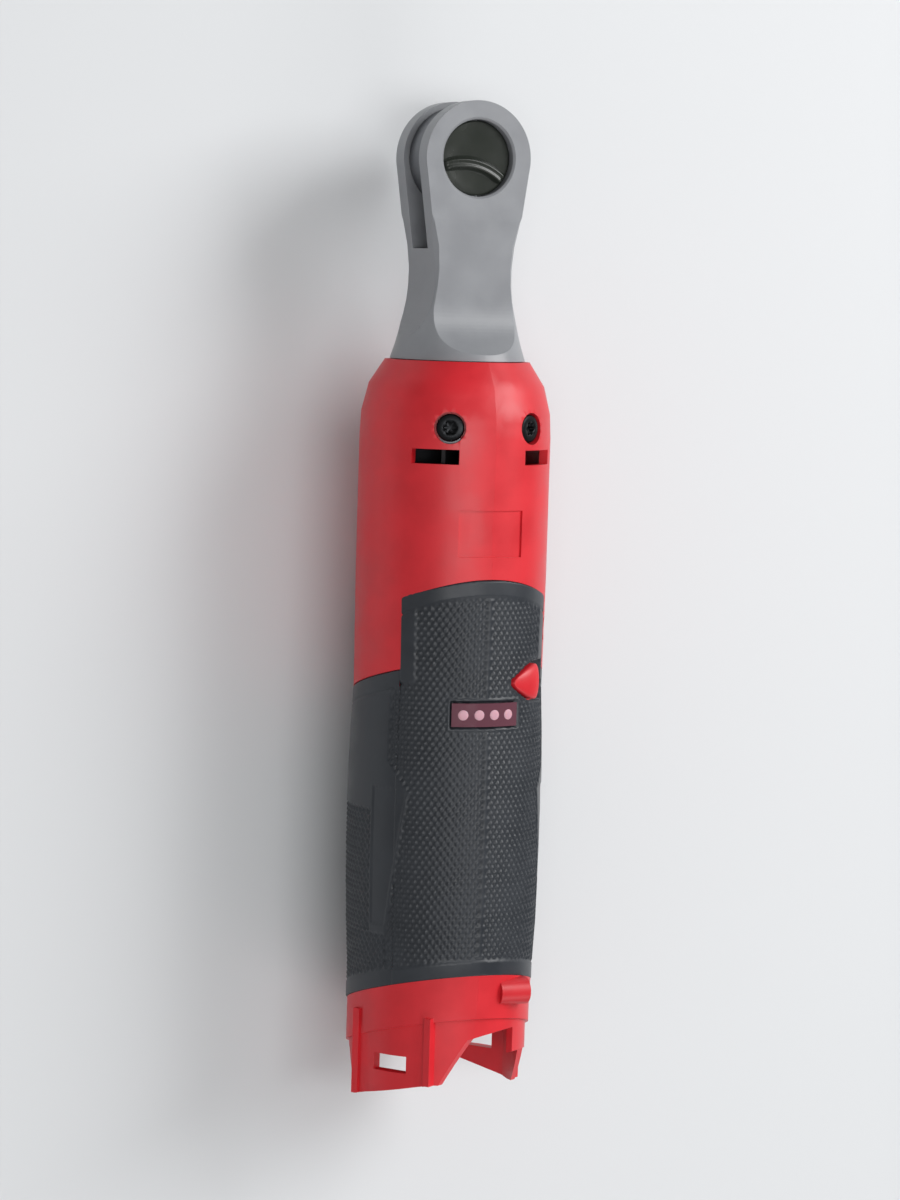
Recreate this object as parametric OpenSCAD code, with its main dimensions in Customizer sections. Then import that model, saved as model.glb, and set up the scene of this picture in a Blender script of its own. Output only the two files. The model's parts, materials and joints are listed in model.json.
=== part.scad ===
// Cordless ratchet wrench, bare tool.
// The origin is on the drive axis, in the shoulder plane that a socket seats on.
// +Y runs from the handle to the head, +Z from the drive square to the direction dial.
// Stations are distances behind the drive axis, along -Y. Clock angles turn about the
// handle axis from +Z towards +X.

/* [Drive] */
// Across flats of the drive square
square_w = 9.53; // [6.35:0.01:9.6]
// Length of the drive square below the shoulder
square_len = 11; // [9:0.5:13]
// Diameter of the detent ball in the square
ball_d = 3.2; // [2.4:0.1:3.6]
// Travel of the detent ball
ball_travel = 0.5; // [0.3:0.05:0.6]

/* [Head] */
// Radius of the ears about the drive axis
head_r = 14.4; // [13.8:0.1:17]
// Height over both ears
head_h = 18.8; // [18.2:0.1:21]
// Height of the slot between the ears
slot_h = 9.2; // [8.6:0.1:9.6]
// Bore through both ears
ear_bore = 19.3; // [19:0.1:20]
// Station where the slot ends
slot_end = 22.9; // [22:0.1:24]
// Width of the neck at its waist
waist_w = 21.3; // [20.8:0.1:23]
// Radius of the neck where it meets the nose
collar_r = 17.2; // [16.5:0.1:18]
// Station of the joint between neck and nose
collar_at = 50.7; // [50:0.1:54]

/* [Ratchet] */
// Radius to the tips of the yoke's inner teeth
tooth_tip_r = 9.8; // [9.75:0.05:10]
// Number of teeth in the yoke
yoke_teeth = 60; // [48:6:72]
// Outside radius of the yoke ring
yoke_r = 13; // [12.5:0.1:13.6]
// Throw of the crank pin
throw = 1.3; // [1:0.1:1.4]

/* [Gears] */
// Gear module
gear_m = 0.7; // [0.65:0.01:0.72]
// Teeth on the sun gear
sun_teeth = 12; // [12:3:12]
// Teeth on each planet gear
planet_teeth = 18; // [18:3:18]
// Width of the gears
gear_w = 5; // [4:0.5:5.5]

/* [Motor] */
// Radius of the motor's laminated stator
stator_r = 18; // [16:0.5:19]
// Length of the stator
stator_len = 24; // [20:1:26]
// Radius of the rotor
rotor_r = 9.4; // [8:0.1:9.8]
// Radius of the motor shaft
shaft_r = 2.5; // [2:0.1:2.6]

/* [Handle] */
// Radius of the red housing round the motor
body_r = 24.3; // [23.5:0.1:29.5]
// Wall of the housing round the motor
wall = 2.2; // [2:0.1:3]
// Thickness of the rubber grip
grip_t = 1.8; // [1.5:0.1:2.2]
// How far the grip swells past its waist
swell = 0.9; // [0:0.1:1.2]
// Station where the grip starts on the dial side
grip_from = 104.8; // [102:0.1:108]
// Length of the grip on the dial side
grip_len = 99.9; // [95:0.1:120]
// Length of the red ring behind the grip
ring_len = 11; // [9:0.5:13]
// Slope of the rear edges, as a rise per millimetre across the handle
rear_slope = 0.31; // [0.1:0.01:0.35]

/* [Battery bay] */
// Radius of the bay
bay_r = 20.9; // [20:0.1:21]
// How far each latch flat cuts into the bay's radius
flat_cut = 1.6; // [1.3:0.1:2.4]
// Clear depth of the bay in front of the grip's rear edge
bay_depth = 18; // [15:1:22]
// Clock angle of the latch ear on the left flank
ear_clock = -57; // [-70:1:-45]
// Width of a latch ear
ear_w = 21; // [18:0.5:22]
// Length of the latch ears behind the red ring
ear_len = 17; // [12:0.5:19]

/* [Controls] */
// Width of the paddle
paddle_w = 20; // [16:0.5:22]
// Length of the paddle behind its pin
paddle_len = 76; // [60:1:80]
// Station of the paddle's pin
paddle_at = 116; // [115:0.5:118]
// How far the paddle turns when squeezed
paddle_angle = 3; // [2:0.5:3.5]
// Station of the centre of the charge gauge
gauge_at = 138.8; // [136:0.1:142]
// Half width of the gauge, as a clock angle
gauge_clock = 22; // [18:1:24]
// Length of the gauge along the handle
gauge_len = 5.9; // [4:0.1:7]
// Clock angle of the middle of the lock button's slot
lock_clock = 32; // [30:1:40]
// Station of the centre of the lock button
lock_at = 131; // [130:0.1:132]
// Travel of the lock button
lock_travel = 2.5; // [1.5:0.1:3]

/* [Hidden] */
$fn = 72;
clear = 0.3;      // gap between pieces that move past each other
fit = 0.05;       // radial clearance of a running fit
ease = 0.02;      // radial clearance of a seated piece
boss_h = 1;       // shoulder below the lower ear
axis_z = head_h / 2 + boss_h;
ear_half = head_h / 2;
slot_half = slot_h / 2;
journal_r = ear_bore / 2 - fit;
drum_half = slot_half - 0.15;

// Ratchet
dial_stem_r = 3;
dial_h = 2.4;
dial_sink = 1.4;                      // dial face below the upper ear
pawl_r = tooth_tip_r - 0.75;
pawl_in_r = 4.2;
pawl_span = 46;
pawl_pin_at = 6.6;
pawl_pin_r = 1.1;
pawl_tilt = 4;
fork_at = slot_end + 0.2;             // middle of the crank pin's bushing
bushing_r = 2.5;
crank_pin_r = 1.7;
tine_in = bushing_r + 2 * throw + 0.1;
tine_w = 2;
tine_end = fork_at + 2.3;
cavity_half = tine_in + tine_w + throw * (tine_end / fork_at) + 0.2;
cavity_end = tine_end + 1.6;
yoke_half = slot_half - 0.2;

// Crank, from its pin to the planet carrier
disc_at = cavity_end + 0.5;
disc_w = 2.6;
crank_bore = 7;
crank_r = 4.5;
needle_at = disc_at + disc_w + 0.8;
needle_len = 12;
ball_bearing_at = 45;
ball_bearing_w = 6;
ball_bearing_r = 11;
spigot_r = 14;
neck_r = 13.3;                        // corner radius of the neck at its waist
spigot_end = collar_at + 5.3;
planet_orbit = gear_m * (sun_teeth + planet_teeth) / 2;
ring_teeth = sun_teeth + 2 * planet_teeth;
carrier_at = spigot_end + 0.4;
carrier_w = 2;
gears_at = carrier_at + carrier_w + 0.4;
gears_end = gears_at + gear_w;
planet_pin_r = 1.5;

// Gearcase and motor
ring_gear_r = gear_m * ring_teeth / 2 + 2.75;
case_at = collar_at + 1.5;
case_wall_at = gears_end + 1.4;
case_end = case_wall_at + 6;
bearing_r = 8;
bearing_w = 4.6;
front_bearing_at = case_end - bearing_w;
fan_at = case_end + 1.2;
fan_len = 6;
fan_r = 19.4;
stator_at = fan_at + fan_len + 2.6;
stator_end = stator_at + stator_len;
winding_out = 1.6;                    // windings beyond each end of the stator
plate_at = stator_end + winding_out + 0.4;
plate_w = 4.8;
shaft_end = plate_at + plate_w + 0.5;

// Outside of the handle
nose_r = body_r - 6;
nose_shoulder_r = body_r - 2;
nose_shoulder_at = collar_at + 6.3;
nose_end = collar_at + 13.3;
swell_at = 168;
swell_from = 134;
ring_r = body_r - 0.9;
inner_r = body_r - 4;                 // cavity of the handle behind the motor
narrow_at = shaft_end + 3;
grip_end = grip_from + grip_len;
ring_end = grip_end + ring_len;
rear_boss_at = grip_end + 5.1;
rear_boss_z = ring_r - 2.8;
rear_boss_r = 3.4;
rear_boss_len = 8;
bay_from = grip_end - bay_depth;
bay_flat = bay_r - flat_cut;          // from the handle axis to each latch flat
ear_end = ring_end + ear_len;
screw_clocks = [-28, 28, 152, -152];
nose_screw_at = case_wall_at + 2;
vent_at = fan_at + 0.2;
vent_len = 3.7;
shell_screw_at = [[shaft_end + 6, 12], [shaft_end + 6, -12], [178, 14]];
shell_screw_r = 1.5;
screw_seat = body_r - 9.3;            // height of the screw heads' seats over the parting plane

// Paddle, switch and boards. Heights are measured from the handle axis.
pin_low = body_r - 3.3;
pin_r = 1.5;
paddle_drop = paddle_len * tan(paddle_angle) + 1.4;   // how far the paddle hangs at its rear
lug_w = 7;
switch_at = 125;
switch_len = 24;
switch_low = 17.2;
plunger_at = 134;
plunger_r = 2.4;
pad_top = body_r + 1.2;
spring_at = 160;
board_at = 150;
board_len = 30;
board_w = 30;
bay_floor_at = bay_from - 3;

ring_groove_z = boss_h + 0.4;
washer_z = ring_groove_z + 0.85;
journal_z = washer_z + 0.55;
drum_low = axis_z - drum_half;
drum_high = axis_z + drum_half;
dial_z = axis_z + ear_half - dial_sink - dial_h;
pocket_half = 3.2;
lock_back = 5.6;                      // lock button from its middle to its point
lock_front = 3.2;
lock_half = 4.6;
spindle_z = body_r - 3.7;
light_at = nose_shoulder_at + 1.5;
slots = 6;
lead_clocks = [-74, -65, -56];
lead_orbit = 13.5;
lead_r = 0.8;
board_top = 2.6;
gauge_board_z = 17;

// ---------------------------------------------------------------- helpers

// Puts children on the handle axis, with their +Z towards the rear
module rearward(station = 0)
    translate([0, -station, axis_z]) rotate([90, 0, 0]) children();

// Solid of revolution about the handle axis, from [radius, station] points
module turned(points) rearward() rotate_extrude() polygon(points);

// Tube about the handle axis
module tube(outer, inner, from, to)
    rearward(from) difference() {
        cylinder(r = outer, h = to - from);
        if (inner > 0) translate([0, 0, -1]) cylinder(r = inner, h = to - from + 2);
    }

// Part of a tube between two clock angles
module sector(inner, outer, clock_a, clock_b, from, to)
    rearward() rotate([0, 0, 90 - clock_b]) rotate_extrude(angle = clock_b - clock_a)
        polygon([[inner, from], [outer, from], [outer, to], [inner, to]]);

// Puts children at a clock angle, with their +Z pointing out from the handle axis
module at_clock(clock, station)
    translate([0, -station, axis_z]) rotate([0, clock, 0]) children();

// Extrudes a side view, drawn as [station, height], across the handle
module side_view(w)
    translate([0, 0, axis_z]) rotate([90, 0, -90]) linear_extrude(w, center = true) children();

// Box on the handle's middle plane: stations from and to, heights low and high
module block(w, from, to, low, high)
    translate([-w / 2, -to, axis_z + low]) cube([w, to - from, high - low]);

// Small rounded coil drawn as a corrugated sleeve, along +Z
module coil(r, wire, h, turns)
    rotate_extrude() polygon(concat(
        [for (i = [0:2 * turns]) [r + (i % 2) * wire * 0.5, h * i / (2 * turns)]],
        [for (i = [2 * turns:-1:0]) [r - wire + (i % 2) * wire * 0.5, h * i / (2 * turns)]]));

// Outline of an external gear with thinned, shortened teeth
module gear_outline(teeth)
    polygon([for (i = [0:teeth - 1],
        p = [[-0.27, -1.25], [-0.15, 0.66], [0.15, 0.66], [0.27, -1.25]])
        let (a = 360 / teeth * (i + p[0]), r = gear_m * (teeth / 2 + p[1]))
            [r * cos(a), r * sin(a)]]);

// ---------------------------------------------------------------- head

// Plan of the neck, tangent to the ears and concave where it widens into the collar
module neck_plan() {
    half = waist_w / 2;
    waist_at = 27;
    reach = sqrt(half * half + waist_at * waist_at);
    tangent = atan2(-waist_at, half) + acos(head_r / reach);
    flare_r = 22;
    flare_at = 31.5;
    side = concat([[(head_r - 0.03) * cos(tangent), (head_r - 0.03) * sin(tangent)],
        [half, -waist_at]],
        [for (a = [0:4:48]) [half + flare_r * (1 - cos(a)), -flare_at - flare_r * sin(a)]],
        [[22, -collar_at - 1]]);
    polygon(concat(side, [for (i = [len(side) - 1:-1:0]) [-side[i][0], side[i][1]]]));
}

// Long thumb scoop that thins the neck, drawn as [station, height]
module scoop_profile() {
    slope = 2;
    scoop_r = 14;
    crease_at = 15.5;
    scoop_at = 36;
    drop = (scoop_at - crease_at) * tan(slope);
    polygon(concat([[-20, 40], [-20, ear_half], [crease_at, ear_half]],
        [for (a = [-slope:4:88]) [scoop_at + scoop_r * (sin(a) + sin(slope)),
            ear_half - drop + scoop_r * (cos(slope) - cos(a))]],
        [[scoop_at + scoop_r + 0.5, 40]]));
}

module head_outside()
    union() {
        translate([0, 0, boss_h]) cylinder(r = head_r, h = head_h);
        difference() {
            intersection() {
                turned(concat([[0, 2], [neck_r + 3.9, 2]],
                    [for (s = [10:6:28]) [neck_r + 0.012 * pow(28 - s, 2), s]],
                    [for (i = [0:6]) let (k = i / 6)
                        [neck_r + (collar_r - neck_r) * k * k, 28.5 + (collar_at - 28.5) * k]],
                    [[0, collar_at]]));
                translate([0, 0, -10]) linear_extrude(60) neck_plan();
            }
            side_view(60) scoop_profile();
            side_view(60) mirror([0, 1]) scoop_profile();
        }
    }

module head_housing()
    color("#96989C") difference() {
        union() {
            head_outside();
            tube(spigot_r, 0, collar_at - 1, spigot_end);
        }
        block(80, -head_r - 1, slot_end, -slot_half, slot_half);
        block(2 * cavity_half, slot_end - 1, cavity_end, -slot_half, slot_half);
        cylinder(r = ear_bore / 2, h = 3 * head_h, center = true);
        translate([0, 0, axis_z + ear_half - 0.5])
            cylinder(r1 = ear_bore / 2, r2 = ear_bore / 2 + 0.6, h = 0.51);
        translate([0, 0, ring_groove_z]) cylinder(r = ear_bore / 2 + 0.8, h = 0.9);
        tube(crank_bore, 0, cavity_end - 1, spigot_end + 1);
        tube(ball_bearing_r + ease, 0, ball_bearing_at - 0.1, spigot_end + 1);
    }

// ---------------------------------------------------------------- drive

module anvil_ring()
    color("#3A3A3C") translate([0, 0, ring_groove_z + 0.05]) difference() {
        cylinder(r = ear_bore / 2 + 0.7, h = 0.8);
        translate([0, 0, -1]) cylinder(r = 8.6, h = 3);
        translate([-1.6, 0, -1]) cube([3.2, 20, 3]);
    }

module thrust_washer()
    color("#B08D57") translate([0, 0, washer_z + 0.05]) difference() {
        cylinder(r = journal_r, h = 0.45);
        translate([0, 0, -1]) cylinder(r = 8.6, h = 3);
    }

module drive_anvil()
    color("#8C8E91") difference() {
        union() {
            translate([0, 0, journal_z]) cylinder(r = journal_r, h = drum_low - journal_z + 0.01);
            translate([0, 0, drum_low]) cylinder(r = pawl_r, h = 2 * drum_half);
            translate([0, 0, drum_high - 0.01]) cylinder(r = journal_r, h = dial_z - drum_high - 0.2);
            cylinder(r = 8.3, h = journal_z + 0.01);
            intersection() {
                translate([-square_w / 2, -square_w / 2, -square_len])
                    cube([square_w, square_w, square_len + 1]);
                translate([0, 0, -square_len])
                    cylinder(r1 = square_w * 0.62, r2 = square_w * 0.62 + 14, h = 14);
            }
        }
        // Pocket for the pawl, open at the front of the drum
        translate([0, 0, axis_z - pocket_half]) linear_extrude(2 * pocket_half) polygon(concat(
            [[0, -1.2]], [for (a = [20:10:160]) [12 * cos(a), 12 * sin(a)]]));
        translate([0, 0, axis_z - pocket_half - 1]) cylinder(r = dial_stem_r + 0.15, h = 20);
        translate([0, pawl_pin_at, axis_z - 4]) cylinder(r = pawl_pin_r + ease, h = 8);
        translate([-1, 0, -square_len / 2]) rotate([0, -90, 0])
            cylinder(r = ball_d / 2 + fit, h = square_w);
    }

module pawl_pin()
    color("#C4C6C8") translate([0, pawl_pin_at, axis_z - 4]) cylinder(r = pawl_pin_r, h = 8);

// Rocking pawl, tilted towards the tightening side
module drive_pawl()
    color("#A5A7AA") translate([0, 0, axis_z - pocket_half + clear])
        linear_extrude(2 * (pocket_half - clear)) difference() {
            translate([0, pawl_pin_at]) rotate(-pawl_tilt / 2) translate([0, -pawl_pin_at])
                intersection() {
                    difference() {
                        circle(r = pawl_r - 0.35);
                        circle(r = pawl_in_r);
                    }
                    polygon([[0, 0], [20 * sin(pawl_span), 20 * cos(pawl_span)],
                        [-20 * sin(pawl_span), 20 * cos(pawl_span)]]);
                }
            translate([0, pawl_pin_at]) circle(r = pawl_pin_r + fit);
        }

module selector_dial()
    color("#2A2E28") difference() {
        union() {
            translate([0, 0, dial_z]) cylinder(r = ear_bore / 2 - 0.25, h = dial_h - 0.6);
            translate([0, 0, axis_z - pocket_half + clear])
                cylinder(r = dial_stem_r, h = dial_z - axis_z + pocket_half);
            // Curved finger fin across the face
            translate([0, 0, dial_z]) linear_extrude(dial_h + 0.9) intersection() {
                circle(r = ear_bore / 2 - 0.3);
                translate([-3.3, -17]) difference() {
                    circle(r = 17);
                    circle(r = 14.8);
                }
                translate([-12, -8]) square([24, 12]);
            }
        }
        translate([0, 0, axis_z]) rotate([-90, 0, 0]) cylinder(r = 1.1, h = 5);
    }

module selector_plunger()
    color("#C4C6C8") translate([0, 1.9, axis_z]) rotate([-90, 0, 0]) cylinder(r = 1.05, h = 1.7);

module selector_spring()
    color("#B8BABD") translate([0, 0.05, axis_z]) rotate([-90, 0, 0]) coil(0.75, 0.35, 1.8, 4);

module socket_ball()
    color("#D6D8DA") translate([-square_w / 2 + ball_d / 2 - ball_travel, 0, -square_len / 2])
        sphere(r = ball_d / 2);

module ball_spring()
    color("#B8BABD") translate([-1.05, 0, -square_len / 2]) rotate([0, -90, 0])
        coil(1.1, 0.35, square_w / 2 - ball_d + ball_travel - 1.2, 3);

module ratchet_yoke()
    color("#77797C") translate([0, 0, axis_z - yoke_half]) linear_extrude(2 * yoke_half) difference() {
        union() {
            circle(r = yoke_r);
            translate([-tine_in - tine_w, -tine_end]) square([2 * (tine_in + tine_w), tine_end - 6]);
        }
        polygon([for (i = [0:yoke_teeth - 1], p = [[-0.42, 0.6], [-0.08, 0], [0.08, 0], [0.42, 0.6]])
            let (a = 360 / yoke_teeth * (i + p[0]), r = tooth_tip_r + p[1])
                [r * cos(a), r * sin(a)]]);
        translate([-tine_in, -tine_end - 1]) square([2 * tine_in, tine_end + 1 - fork_at + 5.2]);
    }

// ---------------------------------------------------------------- crank and gears

module drive_bushing()
    color("#B08D57") translate([0, 0, throw])
        tube(bushing_r, crank_pin_r + ease, fork_at - 2.3, fork_at + 2.3);

module crankshaft()
    color("#7E8083") union() {
        translate([0, 0, throw]) tube(crank_pin_r, 0, fork_at - 2.5, disc_at + 0.1);
        tube(crank_bore - 0.6, 0, disc_at, disc_at + disc_w);
        tube(crank_r, 0, disc_at + disc_w - 0.1, carrier_at + 0.1);
        tube(planet_orbit + 2.6, 0, carrier_at, carrier_at + carrier_w);
    }

module crank_needle_bearing()
    color("#C4C6C8") tube(crank_bore - ease, crank_r + fit, needle_at, needle_at + needle_len);

// Outer race, balls' cage and inner race as one turned ring with grooves
module bearing_ring(outer, inner, from, w)
    turned([[inner, from], [inner + 1.4, from], [inner + 1.6, from + 0.5], [outer - 1.7, from + 0.5],
        [outer - 1.5, from], [outer, from], [outer, from + w], [outer - 1.5, from + w],
        [outer - 1.7, from + w - 0.5], [inner + 1.6, from + w - 0.5], [inner + 1.4, from + w],
        [inner, from + w]]);

module crank_ball_bearing()
    color("#C4C6C8") bearing_ring(ball_bearing_r, crank_r + fit, ball_bearing_at, ball_bearing_w);

module planet_pins()
    color("#C4C6C8") for (k = [0:2]) rearward() rotate(120 * k)
        translate([planet_orbit, 0, carrier_at + carrier_w])
            cylinder(r = planet_pin_r, h = gear_w + 0.8);

module planet_gear(k)
    color("#9A9C9F") rearward(gears_at) rotate(120 * k) translate([planet_orbit, 0, 0])
        linear_extrude(gear_w) difference() {
            gear_outline(planet_teeth);
            circle(r = planet_pin_r + fit);
        }

module planet_gear_1() planet_gear(0);
module planet_gear_2() planet_gear(1);
module planet_gear_3() planet_gear(2);

module ring_gear()
    color("#6E7073") rearward(gears_at - 0.1) linear_extrude(gear_w + 0.8) difference() {
        circle(r = ring_gear_r);
        polygon([for (i = [0:ring_teeth - 1],
            p = [[-0.28, 1.25], [-0.18, -0.66], [0.18, -0.66], [0.28, 1.25]])
            let (a = 360 / ring_teeth * (i + 0.5 + p[0]), r = gear_m * (ring_teeth / 2 + p[1]))
                [r * cos(a), r * sin(a)]]);
    }

module sun_gear()
    color("#9A9C9F") rearward(gears_at + 0.1) linear_extrude(gear_w) difference() {
        rotate(180 / sun_teeth) gear_outline(sun_teeth);
        circle(r = shaft_r);
    }

module gearcase()
    color("#8A8C90") difference() {
        turned([[spigot_r + ease, case_at], [nose_in_r(case_at) - 0.4, case_at],
            [nose_in_r(nose_shoulder_at) - 0.4, nose_shoulder_at],
            [nose_in_r(nose_end) - 0.3, nose_end], [nose_in_r(nose_end) - 0.3, case_end],
            [bearing_r + ease, case_end], [bearing_r + ease, front_bearing_at - 0.05],
            [5, front_bearing_at - 0.05], [5, case_wall_at], [ring_gear_r + ease, case_wall_at],
            [ring_gear_r + ease, spigot_end + 0.2], [spigot_r + ease, spigot_end + 0.2]]);
        for (c = screw_clocks) at_clock(c, nose_screw_at)
            translate([0, 0, body_r - 9]) cylinder(r = 1.9, h = 20);
        at_clock(180, light_at) translate([0, 0, nose_in_r(light_at) - 0.42]) cylinder(r = 3.2, h = 5);
    }

// Inner radius of the nose at a station
function nose_in_r(s) = s < nose_shoulder_at
    ? nose_r - wall + 0.4
        + (nose_shoulder_r - nose_r) * (s - collar_at) / (nose_shoulder_at - collar_at)
    : nose_shoulder_r - wall + (body_r - 0.3 - nose_shoulder_r)
        * min(1, (s - nose_shoulder_at) / (nose_end - nose_shoulder_at));

module nose_screws()
    color("#1C1C1E") for (c = screw_clocks) at_clock(c, nose_screw_at) difference() {
        union() {
            translate([0, 0, body_r - 8.8]) cylinder(r = 1.85, h = 7);
            translate([0, 0, body_r - wall - 0.1]) cylinder(r = 3.5, h = 1.6);
        }
        translate([0, 0, body_r - 2]) cylinder(r = 1.5, h = 5, $fn = 6);
    }

// ---------------------------------------------------------------- housing and grips

// Outside radius of the handle at a station
function outer_r(s) =
    s < nose_shoulder_at
        ? nose_r + (nose_shoulder_r - nose_r) * (s - collar_at) / (nose_shoulder_at - collar_at)
    : s < nose_end
        ? nose_shoulder_r + (body_r - 0.3 - nose_shoulder_r) * (s - nose_shoulder_at)
            / (nose_end - nose_shoulder_at)
    : s < nose_end + 6 ? body_r - 0.3 + 0.3 * (s - nose_end) / 6
    : s < grip_from ? body_r
    : s < swell_from ? body_r - 0.3 * (s - grip_from) / (swell_from - grip_from)
    : max(ring_r, body_r - 0.3 + swell - swell * pow((s - swell_at) / (swell_at - swell_from), 2));

stations = concat([collar_at + 0.2, nose_shoulder_at, nose_end, nose_end + 6, grip_from],
    [for (s = [swell_from:10:grip_end + 14]) s], [ear_end + 30]);

// Side view of everything in front of a slanted rear edge
module ahead_of(station)
    polygon([[0, -60], [0, 60], [station + rear_slope * (body_r - 60), 60],
        [station + rear_slope * (body_r + 60), -60]]);

// Where the rubber covers the handle: an arched front edge on the dial side, which
// steps back along the flanks
module grip_zone() {
    arch_r = 40.6;
    flank_top = body_r * cos(55);
    intersection() {
        union() {
            translate([0, 0, axis_z + flank_top]) linear_extrude(40) {
                translate([0, -grip_from - arch_r]) circle(r = arch_r);
                translate([-40, -ear_end - 40]) square([80, ear_end + 40 - grip_from - arch_r]);
            }
            side_view(120) polygon([[grip_from + 23.1, flank_top + 0.1], [grip_from + 30.2, -10.3],
                [grip_from + 34, -60], [ear_end + 60, -60], [ear_end + 60, flank_top + 0.1]]);
        }
        side_view(130) ahead_of(grip_end);
    }
}

module grip_layer(skin = 0)
    intersection() {
        turned(concat([for (s = stations) if (s >= grip_from - 0.1) [outer_r(s) - grip_t, s]],
            [for (i = [len(stations) - 1:-1:0]) if (stations[i] >= grip_from - 0.1)
                [outer_r(stations[i]) + skin, stations[i]]]));
        grip_zone();
    }

// Everything that passes through both the housing and the grip
module handle_windows() {
    half = gauge_len / 2 + 0.15;
    sector(body_r - 5, body_r + 3, -gauge_clock - 0.4, gauge_clock + 0.4,
        gauge_at - half, gauge_at + half);
    at_clock(lock_clock, lock_at) {
        translate([-lock_back - 2 * clear, -lock_half - clear, body_r - 7])
            cube([lock_back + lock_front + lock_travel + 3.7, 2 * (lock_half + clear), 12]);
        translate([-8.2, 0, spindle_z]) rotate([0, 90, 0]) cylinder(r = 1.2 + ease, h = 17.7);
    }
    block(lug_w + 2 * clear, paddle_at - 4.2, paddle_at + 4.2, -body_r - 3, -10);
    block(2 * plunger_r + 1, plunger_at - plunger_r - 0.5, plunger_at + plunger_r + 0.5,
        -body_r - 3, -10);
    translate([0, -spring_at, axis_z - body_r - 3]) cylinder(r = 3.4, h = 5.8);
    for (p = shell_screw_at) translate([0, -p[0], axis_z + p[1]]) rotate([0, 90, 0])
        translate([0, 0, screw_seat]) cylinder(r = 3.1, h = 20);
}

// Outline of a latch ear and the web beside it, seen from outside the ear
module ear_outline()
    polygon([[-ear_w / 2, -ear_end - 4.8], [ear_w / 2, -ear_end - 0.3], [ear_w / 2 + 2, -ear_end - 0.3],
        [17.8, -ring_end - 5.8], [26, -ring_end - 2.4], [26, -grip_end], [-26, -grip_end],
        [-26, -ring_end - 9], [-17, -ring_end - 12], [-ear_w / 2 - 2, -ear_end - 4.8]]);

module latch_ears()
    for (clock = [ear_clock, ear_clock + 180]) {
        intersection() {
            tube(bay_r + 1.7, bay_r - 1, grip_end + 3, ear_end + 12);
            at_clock(clock, 0) linear_extrude(40) ear_outline();
        }
        intersection() {
            union() {
                at_clock(clock, 0) translate([-ear_w / 2, -ear_end - 9, bay_flat - 0.5])
                    cube([ear_w, ear_len + 9, 2.5]);
                for (side = [-1, 1]) at_clock(clock, 0)
                    translate([side * (ear_w / 2 + 0.2) - 0.9, -ear_end - 9, bay_flat - 2])
                        cube([1.8, ear_len + 9, 4.6]);
            }
            at_clock(clock, 0) linear_extrude(40) ear_outline();
        }
    }

module bay_outline(gap = 0)
    intersection() {
        circle(r = bay_r - gap);
        rotate(-ear_clock) square([4 * bay_r, 2 * (bay_flat - gap)], center = true);
    }

module housing_walls()
    difference() {
        union() {
            intersection() {
                turned(concat([[0, stations[0]]], [for (s = stations) [outer_r(s), s]],
                    [[0, ear_end + 30]]));
                side_view(130) ahead_of(ring_end);
            }
            latch_ears();
            // Screw boss on the rear ring
            translate([6.8, -rear_boss_at, axis_z + rear_boss_z]) rotate([0, 90, 0])
                cylinder(r = rear_boss_r, h = rear_boss_len);
            translate([6.8, -rear_boss_at - rear_boss_r, axis_z + ring_r - 12])
                cube([rear_boss_len, 2 * rear_boss_r, 9.2]);
        }
        grip_layer(4);
        handle_windows();
        // Nose, motor room, handle room
        turned([[0, 0], [spigot_r + 0.3, 0], [spigot_r + 0.3, case_at - 0.1],
            [nose_in_r(case_at) - 0.2, case_at - 0.1],
            [nose_in_r(nose_shoulder_at) - 0.2, nose_shoulder_at],
            [nose_in_r(nose_end) - 0.2, nose_end], [body_r - wall, nose_end + 6],
            [body_r - wall, narrow_at - 12], [inner_r, narrow_at - 8],
            [inner_r, bay_floor_at - 0.1], [0, bay_floor_at - 0.1]]);
        rearward(bay_floor_at - 0.2) linear_extrude(100) bay_outline();
        // Cooling slots
        for (c = [-51, 22, 129, -158])
            sector(body_r - 6, body_r + 2, c, c + 29, vent_at, vent_at + vent_len);
        // Bare label inset
        sector(body_r - 0.5, body_r + 2, -21, 21, vent_at + 15, vent_at + 26.7);
        for (c = screw_clocks) at_clock(c, nose_screw_at) translate([0, 0, body_r - 5]) {
            cylinder(r = 2.1, h = 10);
            translate([0, 0, 5 - wall - 0.15]) cylinder(r = 4, h = 10);
        }
        // Work light window
        at_clock(180, light_at) translate([0, 0, 10]) cylinder(r = 2.8 + ease, h = 20);
        // Latch windows
        for (clock = [ear_clock, ear_clock + 180]) at_clock(clock, ring_end + 12.6)
            translate([-4.85, -2.15, bay_flat - 3]) cube([9.7, 4.3, 12]);
        translate([0, -rear_boss_at, axis_z + rear_boss_z]) rotate([0, 90, 0])
            cylinder(r = 1.6, h = 20);
    }

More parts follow.
